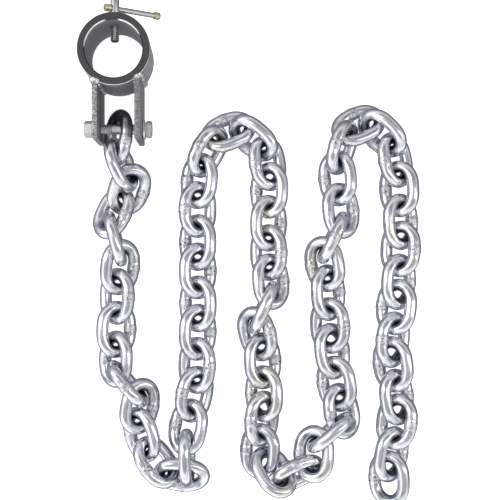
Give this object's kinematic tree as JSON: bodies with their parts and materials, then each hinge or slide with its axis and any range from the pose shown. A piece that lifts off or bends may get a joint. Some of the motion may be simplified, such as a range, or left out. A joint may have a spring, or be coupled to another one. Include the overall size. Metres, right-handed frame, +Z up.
{
  "type": "length of steel chain with bar collar",
  "caption": "Short-link zinc-plated steel chain laid in folded columns, hung on the bolt of a clamp collar for a round bar.",
  "frame": {"origin": "middle of the bounding box, on the floor that the object lies on", "axes": "+Y along the chain's columns towards the collar, +X across them to the right as seen from above, +Z up"},
  "size_m": [0.3198, 0.48, 0.06],
  "materials": {
    "chain_zinc": "bright zinc plating",
    "collar_steel": "dark mill scale",
    "lug_steel": "dark, sawn edges",
    "bolt_zinc": "dull zinc plating",
    "screw_steel": "bare steel",
    "bar_steel": "drawn steel",
    "cap_zinc": "yellow zinc plating"
  },
  "bodies": {
    "chain": {"chain_link_01": "chain_zinc", "chain_link_02": "chain_zinc", "chain_link_03": "chain_zinc", "chain_link_04": "chain_zinc", "chain_link_05": "chain_zinc", "chain_link_06": "chain_zinc", "chain_link_09": "chain_zinc", "chain_link_10": "chain_zinc", "chain_link_11": "chain_zinc", "chain_link_12": "chain_zinc", "chain_link_13": "chain_zinc", "chain_link_14": "chain_zinc", "chain_link_15": "chain_zinc", "chain_link_24": "chain_zinc", "chain_link_25": "chain_zinc", "chain_link_26": "chain_zinc", "chain_link_27": "chain_zinc", "chain_link_28": "chain_zinc", "chain_link_31": "chain_zinc", "chain_link_32": "chain_zinc", "chain_link_33": "chain_zinc", "chain_link_34": "chain_zinc", "chain_link_39": "chain_zinc", "chain_link_40": "chain_zinc", "chain_link_41": "chain_zinc", "chain_link_42": "chain_zinc", "chain_link_43": "chain_zinc", "chain_link_48": "chain_zinc", "chain_link_49": "chain_zinc", "chain_link_52": "chain_zinc", "chain_link_53": "chain_zinc", "chain_link_54": "chain_zinc", "chain_link_55": "chain_zinc", "chain_link_66": "chain_zinc", "chain_links_07_08": "chain_zinc", "chain_links_16_17": "chain_zinc", "chain_links_18_19": "chain_zinc", "chain_links_20_21": "chain_zinc", "chain_links_22_23": "chain_zinc", "chain_links_29_30": "chain_zinc", "chain_links_35_36": "chain_zinc", "chain_links_37_38": "chain_zinc", "chain_links_44_45": "chain_zinc", "chain_links_46_47": "chain_zinc", "chain_links_50_51": "chain_zinc", "chain_links_56_57": "chain_zinc", "chain_links_58_59": "chain_zinc", "chain_links_60_61": "chain_zinc", "chain_links_62_63": "chain_zinc", "chain_links_64_65": "chain_zinc"},
    "collar": {"collar_ring": "collar_steel", "lug_left": "lug_steel", "lug_right": "lug_steel", "bolt": "bolt_zinc", "nut": "bolt_zinc", "washer": "bolt_zinc"},
    "clamp_screw": {"clamp_screw": "screw_steel"},
    "t_bar": {"t_bar": "bar_steel", "t_bar_cap_left": "cap_zinc", "t_bar_cap_right": "cap_zinc"}
  },
  "joints": [
    {"name": "collar_swing", "type": "hinge", "parent": "chain", "child": "collar", "pos_m": [-0.12522, 0.11704, 0.03], "axis": [1, 0, 0], "range_deg": [0, 110]},
    {"name": "screw_advance", "type": "slide", "parent": "collar", "child": "clamp_screw", "axis": [0, -1, 0], "range_m": [-0.013, 0.007]},
    {"name": "bar_slide", "type": "slide", "parent": "clamp_screw", "child": "t_bar", "axis": [0.8339, 0, -0.5519], "range_m": [-0.0374, 0]}
  ]
}
